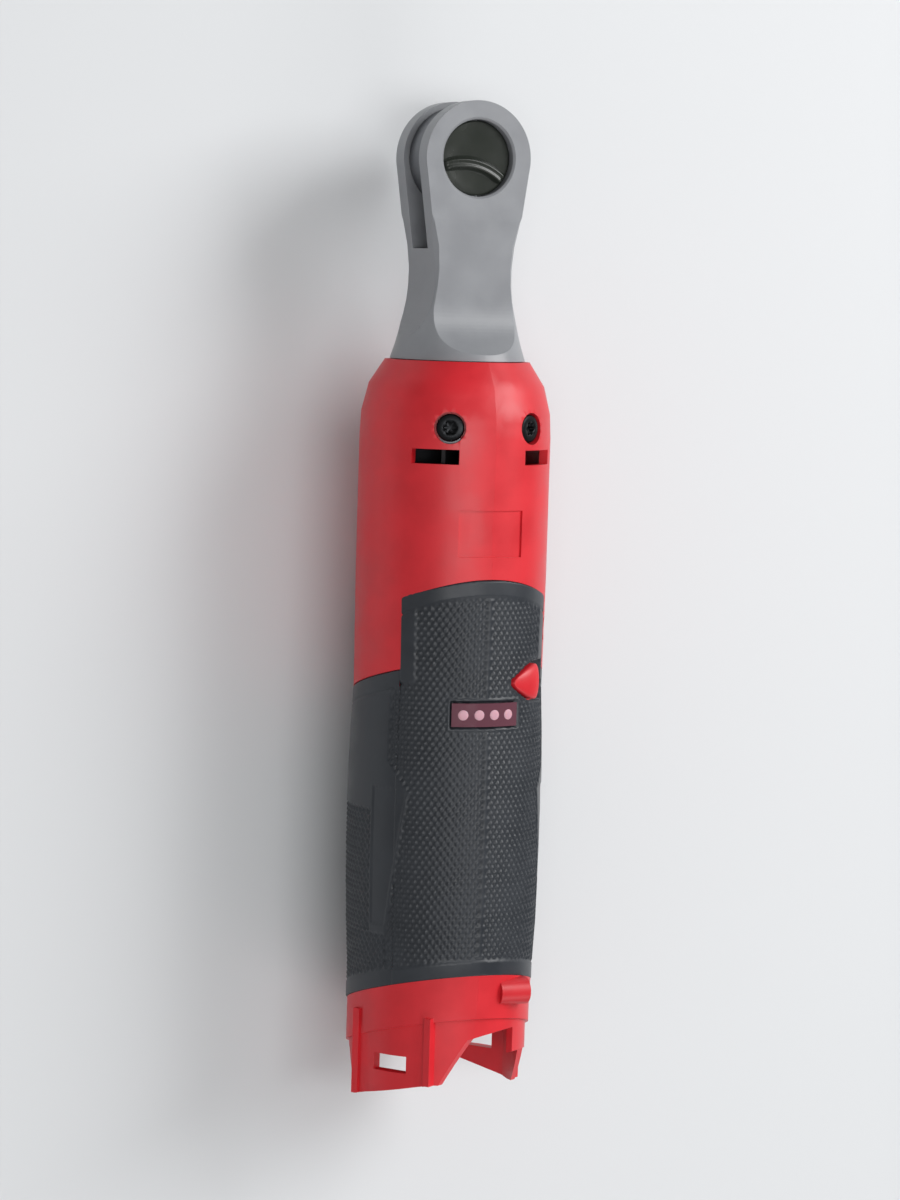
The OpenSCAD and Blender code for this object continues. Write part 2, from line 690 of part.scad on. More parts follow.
// Ribs and bosses inside the housing that carry the motor, switch, boards and screws
module housing_inside()
    difference() {
        union() {
            for (s = [stator_at + 2, stator_end - 4])
                tube(body_r - wall + 0.2, stator_r + ease, s, s + 2);
            tube(body_r - wall + 0.2, stator_r + ease, plate_at + 0.5, plate_at + 3.5);
            for (s = [switch_at + 1, switch_at + switch_len - 4])
                intersection() {
                    block(12, s, s + 2.4, -inner_r - 1, -switch_low);
                    tube(inner_r + 0.5, 0, s - 1, s + 4);
                }
            for (side = [-1, 1]) intersection() {
                translate([side * (board_w / 2 + 20.8) - 20, -board_at - board_len + 2,
                    axis_z - 2.4]) cube([40, board_len - 4, 2.2]);
                tube(inner_r + 0.5, 0, board_at, board_at + board_len);
            }
            intersection() {
                for (p = shell_screw_at) translate([-30, -p[0], axis_z + p[1]]) rotate([0, 90, 0])
                    cylinder(r = 3.6, h = 60);
                tube(inner_r + 1, 0, narrow_at - 1, bay_floor_at - 0.3);
            }
            // Posts beside the paddle's lug that hold its pin
            intersection() {
                for (side = [-1, 1]) translate([side * (lug_w / 2 + 2.8) - 2.2, -paddle_at - 3.5,
                    axis_z - body_r]) cube([4.4, 7, 8]);
                tube(inner_r + 1.2, inner_r - 4, paddle_at - 6, paddle_at + 6);
            }
        }
        for (p = shell_screw_at) translate([0, -p[0], axis_z + p[1]]) rotate([0, 90, 0]) {
            translate([0, 0, -12]) cylinder(r = shell_screw_r, h = 40);
            translate([0, 0, screw_seat]) cylinder(r = 3.1, h = 20);
        }
    }

module housing_side(side)
    color("#D8262C") difference() {
        intersection() {
            union() {
                housing_walls();
                housing_inside();
            }
            translate([side < 0 ? -60 : 0, -ear_end - 60, -60]) cube([60, ear_end + 60, 140]);
        }
        translate([-9, -paddle_at, axis_z - pin_low]) rotate([0, 90, 0])
            cylinder(r = pin_r + ease, h = 18);
        for (p = shell_screw_at) translate([-12, -p[0], axis_z + p[1]]) rotate([0, 90, 0])
            cylinder(r = shell_screw_r, h = 40);
    }

module housing_left() housing_side(-1);
module housing_right() housing_side(1);

module shell_screws()
    color("#1C1C1E") for (p = shell_screw_at)
        translate([0, -p[0], axis_z + p[1]]) rotate([0, 90, 0]) difference() {
            union() {
                translate([0, 0, -11.8]) cylinder(r = shell_screw_r, h = screw_seat + 12);
                translate([0, 0, screw_seat]) cylinder(r = 2.8, h = 2.2);
            }
            translate([0, 0, screw_seat + 1]) cylinder(r = 1.3, h = 3, $fn = 6);
        }

module grip_side(side)
    color("#3A3F46") intersection() {
        difference() {
            grip_layer();
            handle_windows();
        }
        translate([side < 0 ? -60 : 0, -ear_end - 60, -60]) cube([60, ear_end + 60, 140]);
    }

module grip_left() grip_side(-1);
module grip_right() grip_side(1);

// ---------------------------------------------------------------- motor

module motor_stator()
    color("#5A5C60") rearward(stator_at) linear_extrude(stator_len) difference() {
        circle(r = stator_r);
        circle(r = rotor_r + 0.8);
        for (i = [0:slots - 1]) rotate(90 + i * 360 / slots) {
            translate([rotor_r, -1.2]) square([4, 2.4]);
            difference() {
                polygon([[0, 0], [16.2, -6], [16.2, 6]]);
                circle(r = rotor_r + 2);
            }
        }
    }

module motor_windings()
    color("#B4622C") for (i = [0:slots - 1])
        rearward(stator_at - winding_out) rotate(90 + i * 360 / slots)
            linear_extrude(stator_len + 2 * winding_out) difference() {
                polygon([[1, 0], [15.9, -5.5], [15.9, 5.5]]);
                circle(r = rotor_r + 2.4);
            }

module motor_rotor()
    color("#4A4C50") rearward(stator_at + 0.5) linear_extrude(stator_len - 1) difference() {
        circle(r = rotor_r);
        circle(r = shaft_r);
        for (i = [0:3]) rotate(45 + 90 * i) translate([rotor_r - 2.4, -4]) square([1.4, 8]);
    }

module motor_shaft()
    color("#B8BABD") tube(shaft_r, 0, gears_at + 0.1, shaft_end);

module front_bearing()
    color("#C4C6C8") bearing_ring(bearing_r, shaft_r + fit, front_bearing_at, bearing_w);

module rear_bearing()
    color("#C4C6C8") bearing_ring(bearing_r, shaft_r + fit, plate_at + 0.1, bearing_w);

module bearing_plate()
    color("#26282B") difference() {
        turned([[bearing_r + ease, plate_at], [stator_r, plate_at], [stator_r, plate_at + 3],
            [bearing_r + 3, plate_at + plate_w + 0.6], [3.2, plate_at + plate_w + 0.6],
            [3.2, plate_at + plate_w], [bearing_r + ease, plate_at + plate_w]]);
        for (c = lead_clocks) at_clock(c, plate_at - 1) translate([0, 0, lead_orbit])
            rotate([90, 0, 0]) cylinder(r = 0.9, h = 12);
    }

module hall_board()
    color("#1F5A38") rearward(stator_end + 0.5) linear_extrude(1) difference() {
        circle(r = rotor_r + 2.1);
        circle(r = shaft_r + 1);
    }

module motor_leads()
    color("#C8A03C") for (c = lead_clocks) {
        lead_end = board_at + 4;
        at_clock(c, stator_end + winding_out + 0.05) translate([0, 0, lead_orbit])
            rotate([90, 0, 0]) cylinder(r = lead_r, h = lead_end + 1.2 - stator_end - winding_out);
        translate([lead_orbit * sin(c), -lead_end, axis_z + board_top])
            cylinder(r = lead_r - 0.15, h = lead_orbit * cos(c) - board_top);
    }

module cooling_fan()
    color("#202225") difference() {
        union() {
            turned([[0, fan_at], [5, fan_at], [5.5, fan_at + 2.5], [9, fan_at + 4.4],
                [fan_r, fan_at + 4.8], [fan_r, fan_at + fan_len], [0, fan_at + fan_len]]);
            rearward(fan_at + 0.4) for (i = [0:12]) rotate(i * 360 / 13) translate([6.5, 0, 0])
                rotate(20) translate([0, -0.5, 0]) cube([fan_r - 7.6, 1, 4.6]);
        }
        tube(shaft_r, 0, fan_at - 1, fan_at + fan_len + 1);
    }

// ---------------------------------------------------------------- controls and boards

module control_board()
    color("#1F5A38") {
        block(board_w, board_at, board_at + board_len, 1, board_top);
        for (s = [8, 15, 22]) block(9, board_at + s, board_at + s + 5, board_top - 0.01, 5);
        for (side = [-1, 1]) translate([side * 10, -board_at - 12, axis_z + board_top - 0.01])
            cylinder(r = 3.1, h = 6);
    }

module board_tray()
    color("#26282B") difference() {
        block(board_w + 1.6, board_at - 0.8, board_at + board_len + 0.8, -0.1, board_top - 0.4);
        block(board_w + 2 * ease, board_at - ease, board_at + board_len + ease, 1, board_top + 5);
    }

module trigger_switch()
    color("#1C1C1E") difference() {
        union() {
            block(12, switch_at, switch_at + switch_len, -switch_low + 0.02, -5);
            block(9, switch_at + 9, switch_at + 13, -5.1, -0.2);
        }
        translate([0, -plunger_at, axis_z - switch_low - 1]) cylinder(r = plunger_r - 0.35, h = 7);
    }

module switch_plunger()
    color("#D8D8D4") translate([0, -plunger_at, axis_z]) {
        translate([0, 0, -switch_low]) cylinder(r = plunger_r - 0.4, h = 4.5);
        translate([0, 0, -pad_top]) cylinder(r = plunger_r, h = pad_top - switch_low - 1.2);
        translate([0, 0, -switch_low - 1.3]) cylinder(r = plunger_r - 0.4, h = 2);
    }

// Channel-shaped lever under the handle, hinged at its front lug
module paddle() {
    front = paddle_at - 5;
    rear = paddle_at + paddle_len;
    color("#202226") difference() {
        union() {
            intersection() {
                side_view(paddle_w) polygon([[front, -body_r + 1], [front, -body_r - 1.4],
                    [front + 2, -body_r - 2.6], [rear - 8, -body_r - paddle_drop - 3.4],
                    [rear - 2, -body_r - paddle_drop - 3], [rear, -body_r - paddle_drop - 1.1],
                    [rear, -body_r + 1 - paddle_drop]]);
                // Rounded underside, which follows the slope of the lever
                translate([0, -front + 20, axis_z - body_r + 8.5])
                    rotate([90 + atan(paddle_drop / paddle_len), 0, 0])
                        cylinder(r = 13.6, h = paddle_len + 60);
            }
            block(lug_w, paddle_at - 3.4, paddle_at + 3.4, -body_r - 1.8, -pin_low + 2.6);
        }
        // Hollow between the side skirts
        difference() {
            side_view(paddle_w - 4) polygon([[front + 2, -body_r + 8], [front + 2, -body_r - 0.6],
                [rear - 2, -body_r - paddle_drop - 0.2], [rear - 2, -body_r + 8]]);
            block(lug_w, paddle_at - 3.4, paddle_at + 3.4, -body_r - 10, 0);
            block(7, plunger_at - 3, plunger_at + 3, -body_r - 10, -pad_top - clear);
        }
        handle_clearance();
        translate([-20, -paddle_at, axis_z - pin_low]) rotate([0, 90, 0])
            cylinder(r = pin_r + fit, h = 40);
    }
}

// Room for the handle above the lever's skirts
module handle_clearance()
    difference() {
        turned(concat([[0, 100]], [for (s = stations) if (s > 100) [outer_r(s) + 0.45, s]],
            [[0, ear_end + 30]]));
        block(lug_w, paddle_at - 3.4, paddle_at + 3.4, -body_r - 10, 0);
        block(60, 90, 300, -17, 60);
    }

module paddle_pin()
    color("#C4C6C8") translate([-8.8, -paddle_at, axis_z - pin_low]) rotate([0, 90, 0])
        cylinder(r = pin_r, h = 17.6);

module paddle_spring()
    color("#B8BABD") translate([0, -spring_at, axis_z - body_r - 3.5])
        coil(2.4, 0.6, 6.2, 5);

module lock_button()
    color("#D8262C") at_clock(lock_clock, lock_at) difference() {
        union() {
            intersection() {
                translate([0, 0, body_r - 3]) linear_extrude(6) polygon([[-lock_back, -0.6],
                    [-lock_back, 0.6], [-3, 2.6], [0, 3.9], [lock_front, lock_half],
                    [lock_front, -lock_half], [0, -3.9], [-3, -2.6]]);
                rotate([90, 0, 0]) cylinder(r = body_r + 1.6, h = 20, center = true);
            }
            translate([-5, -3.6, spindle_z - 2.2]) cube([lock_front + 5, 7.2, 4.4]);
        }
        translate([-20, 0, spindle_z]) rotate([0, 90, 0]) cylinder(r = 1.2 + fit, h = 40);
    }

module lock_spindle()
    color("#A0A2A5") at_clock(lock_clock, lock_at) translate([-8, 0, spindle_z])
        rotate([0, 90, 0]) cylinder(r = 1.2, h = 17.3);

module gauge_lens()
    color("#6E4650") sector(body_r - 2.4, body_r - 0.25, -gauge_clock, gauge_clock,
        gauge_at - gauge_len / 2, gauge_at + gauge_len / 2);

module gauge_leds()
    color("#BE96A0") for (c = [-15, -5, 5, 15])
        at_clock(c, gauge_at) translate([0, 0, (gauge_board_z + 1.56) / cos(c)])
            cylinder(r = 1.3, h = body_r - 2.5 - (gauge_board_z + 1.56) / cos(c));

module gauge_board()
    color("#1F5A38") block(2 * sqrt(pow(inner_r - 0.1, 2) - pow(gauge_board_z + 1.2, 2)),
        gauge_at - 3.6, gauge_at + 8.4, gauge_board_z, gauge_board_z + 1.2);

module work_light_lens()
    color("#D8E0E4") at_clock(180, light_at)
        translate([0, 0, nose_in_r(light_at) - 0.1]) cylinder(r = 2.8, h = wall - 0.2);

module work_light_led()
    color("#E8E4C8") at_clock(180, light_at)
        translate([0, 0, nose_in_r(light_at) - 0.38]) cylinder(r = 1.3, h = 0.26);

// ---------------------------------------------------------------- battery bay

module bay_floor()
    color("#26282B") difference() {
        rearward(bay_floor_at) linear_extrude(2.8) bay_outline(ease);
        for (side = [-1, 1]) translate([side * 4, -bay_floor_at + 1, axis_z + 3.6])
            rotate([90, 0, 0]) cylinder(r = 1.1, h = 5);
    }

module terminal_block()
    color("#1C1C1E") difference() {
        block(15, bay_from - 0.2, bay_from + 13, -5, 5);
        for (x = [-5.4, -1.8, 1.8, 5.4])
            translate([x - 0.6, -bay_from - 14, axis_z - 6]) cube([1.2, 12, 12]);
    }

module terminals()
    color("#C8A03C") for (x = [-5.4, -1.8, 1.8, 5.4])
        translate([x - 0.4, -bay_from - 12.5, axis_z - 4.4]) cube([0.8, 10.5, 8.8]);

module power_leads()
    color("#A02020") for (side = [-1, 1]) translate([side * 4, -board_at - 28.4, axis_z + 3.6])
        rotate([90, 0, 0]) cylinder(r = 1, h = bay_from - board_at - 28.6);

// ---------------------------------------------------------------- selection

head_housing();
anvil_ring();
thrust_washer();
drive_anvil();
pawl_pin();
drive_pawl();
selector_dial();
selector_plunger();
selector_spring();
socket_ball();
ball_spring();
ratchet_yoke();
drive_bushing();
crankshaft();
crank_needle_bearing();
crank_ball_bearing();
planet_pins();
planet_gear_1();
planet_gear_2();
planet_gear_3();
ring_gear();
sun_gear();
gearcase();
nose_screws();
housing_left();
housing_right();
shell_screws();
grip_left();
grip_right();
motor_stator();
motor_windings();
motor_rotor();
motor_shaft();
front_bearing();
rear_bearing();
bearing_plate();
cooling_fan();
hall_board();
motor_leads();
control_board();
board_tray();
trigger_switch();
switch_plunger();
paddle();
paddle_pin();
paddle_spring();
lock_button();
lock_spindle();
gauge_lens();
gauge_leds();
gauge_board();
work_light_lens();
work_light_led();
bay_floor();
terminal_block();
terminals();
power_leads();
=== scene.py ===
"""Cordless ratchet wrench: finishes, moulded rubber grip, dial, lock button and studio."""

import json
import math

import bmesh
import bpy
from bpy.props import FloatProperty, FloatVectorProperty, PointerProperty, StringProperty
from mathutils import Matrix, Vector
from mathutils.bvhtree import BVHTree


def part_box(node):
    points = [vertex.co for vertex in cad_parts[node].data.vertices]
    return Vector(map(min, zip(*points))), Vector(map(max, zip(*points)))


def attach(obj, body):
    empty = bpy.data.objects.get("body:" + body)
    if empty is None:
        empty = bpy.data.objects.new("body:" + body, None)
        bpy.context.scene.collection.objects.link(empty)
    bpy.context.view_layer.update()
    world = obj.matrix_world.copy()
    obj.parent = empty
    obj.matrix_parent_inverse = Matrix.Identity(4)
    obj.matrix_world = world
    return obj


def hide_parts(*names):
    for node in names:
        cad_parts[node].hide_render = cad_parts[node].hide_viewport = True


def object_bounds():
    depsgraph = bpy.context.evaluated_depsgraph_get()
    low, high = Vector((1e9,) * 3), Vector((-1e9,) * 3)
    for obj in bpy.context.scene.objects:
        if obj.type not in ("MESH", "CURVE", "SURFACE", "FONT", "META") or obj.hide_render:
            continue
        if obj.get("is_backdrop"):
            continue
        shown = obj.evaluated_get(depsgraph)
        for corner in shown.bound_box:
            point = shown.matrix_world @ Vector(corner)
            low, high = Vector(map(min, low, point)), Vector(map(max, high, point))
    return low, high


bl_info = {
    "name": "Cordless Ratchet Wrench",
    "version": (1, 0, 0),
    "blender": (4, 5, 0),
    "location": "View3D > Sidebar > Ratchet",
    "description": "Finishes and moulded details of a cordless ratchet wrench",
    "category": "Object",
}

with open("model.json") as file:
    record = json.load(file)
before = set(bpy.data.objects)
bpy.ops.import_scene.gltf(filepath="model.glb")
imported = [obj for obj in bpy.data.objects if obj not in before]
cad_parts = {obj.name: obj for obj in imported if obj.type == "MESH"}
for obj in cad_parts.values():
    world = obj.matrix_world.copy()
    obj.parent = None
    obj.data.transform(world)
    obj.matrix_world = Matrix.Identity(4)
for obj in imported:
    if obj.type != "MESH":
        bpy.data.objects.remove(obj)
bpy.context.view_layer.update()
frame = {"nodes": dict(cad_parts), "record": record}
NODES = frame["nodes"]
MM = 0.001

# ------------------------------------------------------------------ places from the frame


def centre(node):
    """Middle of a CAD node's box."""
    low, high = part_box(node)
    return (Vector(low) + Vector(high)) / 2


AXIS_Z = centre("motor_shaft").z
# Clock angles, in degrees from +Z towards +X, that the frame's boxes don't give
LOCK_CLOCK = 32
GAUGE_HALF_CLOCK = 22
LAMP_CLOCKS = (-15, -5, 5, 15)
SCREW_CLOCKS = (-28, 28, 152, -152)
GRIP_FRONT = max(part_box("grip_left")[1][1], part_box("grip_right")[1][1])
GRIP_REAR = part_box("grip_left")[0][1]


def on_handle(clock, station, radius):
    """Point at a clock angle (degrees from +Z towards +X), a distance behind the drive axis."""
    turn = math.radians(clock)
    return Vector((radius * math.sin(turn), -station, AXIS_Z + radius * math.cos(turn)))


def handle_axes(clock):
    """Directions out from the handle axis and round it, at a clock angle."""
    turn = math.radians(clock)
    out = Vector((math.sin(turn), 0, math.cos(turn)))
    around = Vector((math.cos(turn), 0, -math.sin(turn)))
    return out, around


# ------------------------------------------------------------------ settings


class RatchetGripSettings(bpy.types.PropertyGroup):
    pitch_along: FloatProperty(
        name="Pitch along", description="Spacing of the diamonds along the handle",
        default=2.5 * MM, unit="LENGTH")
    pitch_around: FloatProperty(
        name="Pitch around", description="Spacing of the diamonds round the handle",
        default=1.8 * MM, unit="LENGTH")
    relief: FloatProperty(
        name="Relief", description="Depth of the grooves between the diamonds",
        default=0.5 * MM, unit="LENGTH")
    border: FloatProperty(
        name="Border", description="Width of the smooth edge band",
        default=4.4 * MM, unit="LENGTH")
    step: FloatProperty(
        name="Mesh step", description="Distance between mesh rows",
        default=0.36 * MM, unit="LENGTH")


class RatchetColourSettings(bpy.types.PropertyGroup):
    red: StringProperty(name="Red", description="Colour of the moulded housing", default="#D4202B")
    grip: StringProperty(name="Grip", description="Colour of the rubber", default="#2B2F35")
    head: StringProperty(name="Head", description="Colour of the painted head", default="#8C8E92")
    dial: StringProperty(name="Dial", description="Colour of the direction dial", default="#262A25")
    gauge: StringProperty(name="Gauge", description="Colour of the gauge window", default="#6A3F4B")


class RatchetStageSettings(bpy.types.PropertyGroup):
    lens: FloatProperty(
        name="Lens", description="Focal length of the camera in millimetres", default=112.0)
    floor: StringProperty(name="Floor", description="Colour of the floor", default="#DADCDE")
    camera: FloatVectorProperty(
        name="Camera", description="Camera, from the handle axis above the drive",
        default=(-0.401, -0.032, 0.861), subtype="TRANSLATION", unit="LENGTH")


# ------------------------------------------------------------------ material helpers


def linear(hex_colour):
    """sRGB hex value as linear RGBA."""
    channels = [int(hex_colour[i:i + 2], 16) / 255 for i in (1, 3, 5)]
    return [c / 12.92 if c <= 0.04045 else ((c + 0.055) / 1.055) ** 2.4 for c in channels] + [1.0]


def add(tree, kind, inputs=None, **settings):
    """Adds a node, sets its options, and sets or links its inputs."""
    node = tree.nodes.new(kind)
    for name, value in settings.items():
        setattr(node, name, value)
    for name, value in (inputs or {}).items():
        if isinstance(value, bpy.types.NodeSocket):
            tree.links.new(value, node.inputs[name])
        else:
            node.inputs[name].default_value = value
    return node


def new_material(name, base, **surface):
    """Material with one Principled surface; returns its tree, surface and object coordinates."""
    material = bpy.data.materials.new(name)
    material.use_nodes = True
    tree = material.node_tree
    tree.nodes.clear()
    shader = add(tree, "ShaderNodeBsdfPrincipled", {"Base Color": linear(base), **surface})
    add(tree, "ShaderNodeOutputMaterial", {"Surface": shader.outputs["BSDF"]})
    place = add(tree, "ShaderNodeTexCoord").outputs["Object"]
    return material, tree, shader, place


BROAD_MM = 9  # size of the slow changes in roughness and colour


def grain(tree, shader, place, size_mm, depth_mm, detail=3.0, roughness=None, tint=None):
    """Fine cast or moulded grain: bump, and optional small changes of roughness and colour."""
    noise = add(tree, "ShaderNodeTexNoise", {
        "Vector": place, "Scale": 1 / (size_mm * MM), "Detail": detail})
    bump = add(tree, "ShaderNodeBump", {
        "Height": noise.outputs["Fac"], "Strength": 1.0, "Distance": depth_mm * MM})
    tree.links.new(bump.outputs["Normal"], shader.inputs["Normal"])
    broad = add(tree, "ShaderNodeTexNoise", {
        "Vector": place, "Scale": 1 / (BROAD_MM * MM), "Detail": 4.0})
    if roughness:
        spread = add(tree, "ShaderNodeMapRange", {
            "Value": broad.outputs["Fac"], "From Min": 0.3, "From Max": 0.7,
            "To Min": roughness[0], "To Max": roughness[1]})
        tree.links.new(spread.outputs["Result"], shader.inputs["Roughness"])
    if tint:
        ramp = add(tree, "ShaderNodeValToRGB", {"Fac": broad.outputs["Fac"]})
        ramp.color_ramp.elements[0].position = 0.35
        ramp.color_ramp.elements[1].position = 0.65
        ramp.color_ramp.elements[0].color = linear(tint[0])
        ramp.color_ramp.elements[1].color = linear(tint[1])
        tree.links.new(ramp.outputs["Color"], shader.inputs["Base Color"])


# ------------------------------------------------------------------ materials


def nylon_spark_textured(colour, name="nylon_red_spark_textured"):
    """Glass-filled nylon from a spark-eroded mould: satin, with an even fine grain."""
    material, tree, shader, place = new_material(
        name, colour, **{"IOR": 1.53, "Roughness": 0.42, "Specular IOR Level": 0.45})
    darker = "#" + "".join(f"{int(int(colour[i:i + 2], 16) * 0.95):02X}" for i in (1, 3, 5))
    grain(tree, shader, place, 0.35, 0.012, 2.0, (0.36, 0.46), (darker, colour))
    return material


def tpe_overmoulded(colour):
    """Thermoplastic rubber moulded over the shell: matt, with a faint grey sheen."""
    material, tree, shader, place = new_material(
        "tpe_overmoulded_matt", colour, **{
            "IOR": 1.5, "Roughness": 0.45, "Sheen Weight": 0.06, "Sheen Roughness": 0.4})
    grain(tree, shader, place, 0.22, 0.008, 3.0, (0.36, 0.5), ("#24282E", colour))
    return material


def steel_painted(colour):
    """Forged steel head in grey enamel: faint orange peel over the casting, a low gloss."""
    material, tree, shader, place = new_material(
        "steel_painted_grey", colour, **{
            "IOR": 1.5, "Roughness": 0.4, "Coat Weight": 0.15, "Coat Roughness": 0.3})
    grain(tree, shader, place, 0.9, 0.014, 3.0, (0.34, 0.46), ("#85878B", colour))
    return material


def nylon_polished(colour):
    """Dial in polished nylon: a clean gloss with slight ripples from the mould."""
    material, tree, shader, place = new_material(
        "nylon_polished_dark", colour, **{"IOR": 1.5, "Roughness": 0.24})
    grain(tree, shader, place, 1.4, 0.008, 2.0, (0.18, 0.3))
    return material


def steel_black_oxide():
    """Screws in black oxide: dark, oily, with a finely turned grain."""
    material, tree, shader, place = new_material(
        "steel_black_oxide", "#1B1C1E", **{"Metallic": 0.85, "Roughness": 0.34})
    grain(tree, shader, place, 0.3, 0.01, 4.0, (0.26, 0.44))
    return material


def steel_ground(name, colour, rough):
    """Hardened steel, ground: bright, with fine scratches round the part."""
    material, tree, shader, place = new_material(
        name, colour, **{"Metallic": 1.0, "Roughness": rough})
    grain(tree, shader, place, 0.16, 0.004, 6.0, (rough - 0.07, rough + 0.09))
    return material


def plain_moulding(name, colour, rough=0.5, grain_mm=0.3):
    """Small black or white moulding: even satin with a fine mould grain."""
    material, tree, shader, place = new_material(
        name, colour, **{"IOR": 1.5, "Roughness": rough})
    grain(tree, shader, place, grain_mm, 0.012, 2.0, (rough - 0.06, rough + 0.06))
    return material


def copper_enamelled():
    """Enamelled copper wire, wound: orange-brown with the wire's pitch across it."""
    wire = 0.6 * MM
    material, tree, shader, place = new_material(
        "copper_enamelled_wound", "#B4622C", **{"Metallic": 0.9, "Roughness": 0.3})
    wave = add(tree, "ShaderNodeTexWave", {
        "Vector": place, "Scale": 1 / (6.28 * wire), "Distortion": 0.4},
        bands_direction="X")
    bump = add(tree, "ShaderNodeBump", {
        "Height": wave.outputs["Fac"], "Strength": 1.0, "Distance": 0.1 * MM})
    tree.links.new(bump.outputs["Normal"], shader.inputs["Normal"])
    return material


def acrylic_tinted(colour):
    """Rose tinted acrylic window, polished: clear enough to show the lamps behind it."""
    material, tree, shader, place = new_material(
        "acrylic_rose_polished", colour, **{
            "IOR": 1.49, "Roughness": 0.12, "Transmission Weight": 0.15})
    grain(tree, shader, place, 2.5, 0.006, 2.0, (0.06, 0.12))
    return material


def acrylic_frosted(name, colour):
    """Frosted lamp cap: pale, soft and slightly translucent."""
    material, tree, shader, place = new_material(
        name, colour, **{"IOR": 1.49, "Roughness": 0.5, "Subsurface Weight": 0.15,
                         "Subsurface Scale": 1 * MM})
    grain(tree, shader, place, 0.25, 0.008, 2.0, (0.42, 0.56))
    return material


def board_solder_masked():
    """Glass-epoxy board under green solder mask: glossy, with the weave just showing."""
    material, tree, shader, place = new_material(
        "board_solder_masked", "#1F5A38", **{"IOR": 1.55, "Roughness": 0.25})
    grain(tree, shader, place, 0.5, 0.012, 1.0, (0.2, 0.34), ("#1A4F31", "#226640"))
    return material


# ------------------------------------------------------------------ mesh helpers


def new_object(name, mesh, body, material, replaced=()):
    """Puts a finished mesh in the scene, riding on a CAD body."""
    obj = bpy.data.objects.new(name, mesh)
    bpy.context.scene.collection.objects.link(obj)
    mesh.materials.append(material)
    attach(obj, body)
    if replaced:
        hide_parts(*replaced)
    return obj


def mesh_from(bm, name):
    """Smooth-shaded mesh from a bmesh, with outward normals."""
    bmesh.ops.recalc_face_normals(bm, faces=bm.faces)
    mesh = bpy.data.meshes.new(name)
    bm.to_mesh(mesh)
    bm.free()
    mesh.shade_smooth()
    return mesh


def close_rows(bm, rows):
    """Faces between open rows of points."""
    for a, b in zip(rows, rows[1:]):
        for i in range(len(a) - 1):
            bm.faces.new((a[i], a[i + 1], b[i + 1], b[i]))


def ring(bm, middle, first, second, steps, reach):
    """Ring of points about a middle; reach gives the radius at an angle."""
    points = []
    for i in range(steps):
        angle = 2 * math.pi * i / steps
        points.append(bm.verts.new(
            middle + first * reach(angle) * math.cos(angle)
            + second * reach(angle) * math.sin(angle)))
    return points


def close_rings(bm, rings):
    """Faces between rings of points, where a ring of one point is a pole."""
    steps = max(len(ring) for ring in rings)
    for inner, outer in zip(rings, rings[1:]):
        for i in range(steps):
            j = (i + 1) % steps
            if len(inner) == 1:
                bm.faces.new((inner[0], outer[i], outer[j]))
            elif len(outer) == 1:
                bm.faces.new((inner[i], outer[0], inner[j]))
            else:
                bm.faces.new((inner[i], outer[i], outer[j], inner[j]))


def smoothstep(value, low, high):
    """0 below low, 1 above high, and a smooth rise between."""
    k = min(max((value - low) / (high - low), 0.0), 1.0)
    return k * k * (3 - 2 * k)


def soften(obj, width, angle=35):
    """Rounds a CAD node's sharp edges without moving it."""
    weld = obj.modifiers.new("joined_faces", "WELD")
    weld.merge_threshold = 0.004 * MM
    bevel = obj.modifiers.new("edge_radius", "BEVEL")
    bevel.width = width
    bevel.segments = 2
    bevel.limit_method = "ANGLE"
    bevel.angle_limit = math.radians(angle)
    bevel.use_clamp_overlap = True
    obj.data.shade_smooth()
    weighted = obj.modifiers.new("flat_faces", "WEIGHTED_NORMAL")
    weighted.keep_sharp = True


# ------------------------------------------------------------------ grip

OUTSIDE = 0.040        # radius outside the whole handle, where rays start
PLAIN_RADIUS = 0.0228  # the grip's plain surface lies outside this radius
RIM_RADIUS = 0.0225    # and its rims outside this one
PLAIN_CLOCK = -30      # clock angle of a line with no window or button
MID_STATION = 0.17     # station whose radius sets the mesh step round the handle
FLANK_CLOCK = 55.0     # clock angle where a grip half is split in two sheets


class HandleSurface:
    """Outer surface of the CAD grips, found by rays towards the handle axis."""

    def __init__(self):
        verts, faces = [], []
        for node in ("grip_left", "grip_right"):
            mesh = NODES[node].data
            start = len(verts)
            verts += [v.co.copy() for v in mesh.vertices]
            faces += [[start + i for i in p.vertices] for p in mesh.polygons]
        self.tree = BVHTree.FromPolygons(verts, faces)
        self.profile = self.measure()

    def hit(self, clock, station):
        """Radius where a ray from outside meets the grip, or None."""
        out = on_handle(clock, station, OUTSIDE)
        spot = self.tree.ray_cast(out, on_handle(clock, station, 0) - out, OUTSIDE)[0]
        return (spot - on_handle(clock, station, 0)).length if spot else None

    def measure(self):
        """[station, radius] pairs down a plain line of the grip."""
        pairs = []
        station = -GRIP_FRONT
        while station < -GRIP_REAR:
            radius = self.hit(PLAIN_CLOCK, station)
            if radius and radius > PLAIN_RADIUS:
                pairs.append((station, radius))
            station += 1 * MM
        return pairs

    def radius(self, station):
        """Radius of the grip at a station."""
        last = self.profile[0]
        for pair in self.profile:
            if pair[0] >= station:
                if pair is last:
                    return pair[1]
                k = (station - last[0]) / (pair[0] - last[0])
                return last[1] + k * (pair[1] - last[1])
            last = pair
        return last[1]

    def span(self, clock):
        """First and last station of the grip at a clock angle."""
        step = 0.2 * MM
        margin = 0.6 * MM
        first = -GRIP_FRONT - margin
        while not (self.hit(clock, first) or 0) > RIM_RADIUS:
            first += step
        last = -GRIP_REAR + margin
        while not (self.hit(clock, last) or 0) > RIM_RADIUS:
            last -= step
        return first, last


def line_notch(distance, width=0.45 * MM, depth=0.28 * MM):
    """Depth of a fine engraved line at a distance from its middle."""
    return depth * (1 - smoothstep(abs(distance), width * 0.3, width))


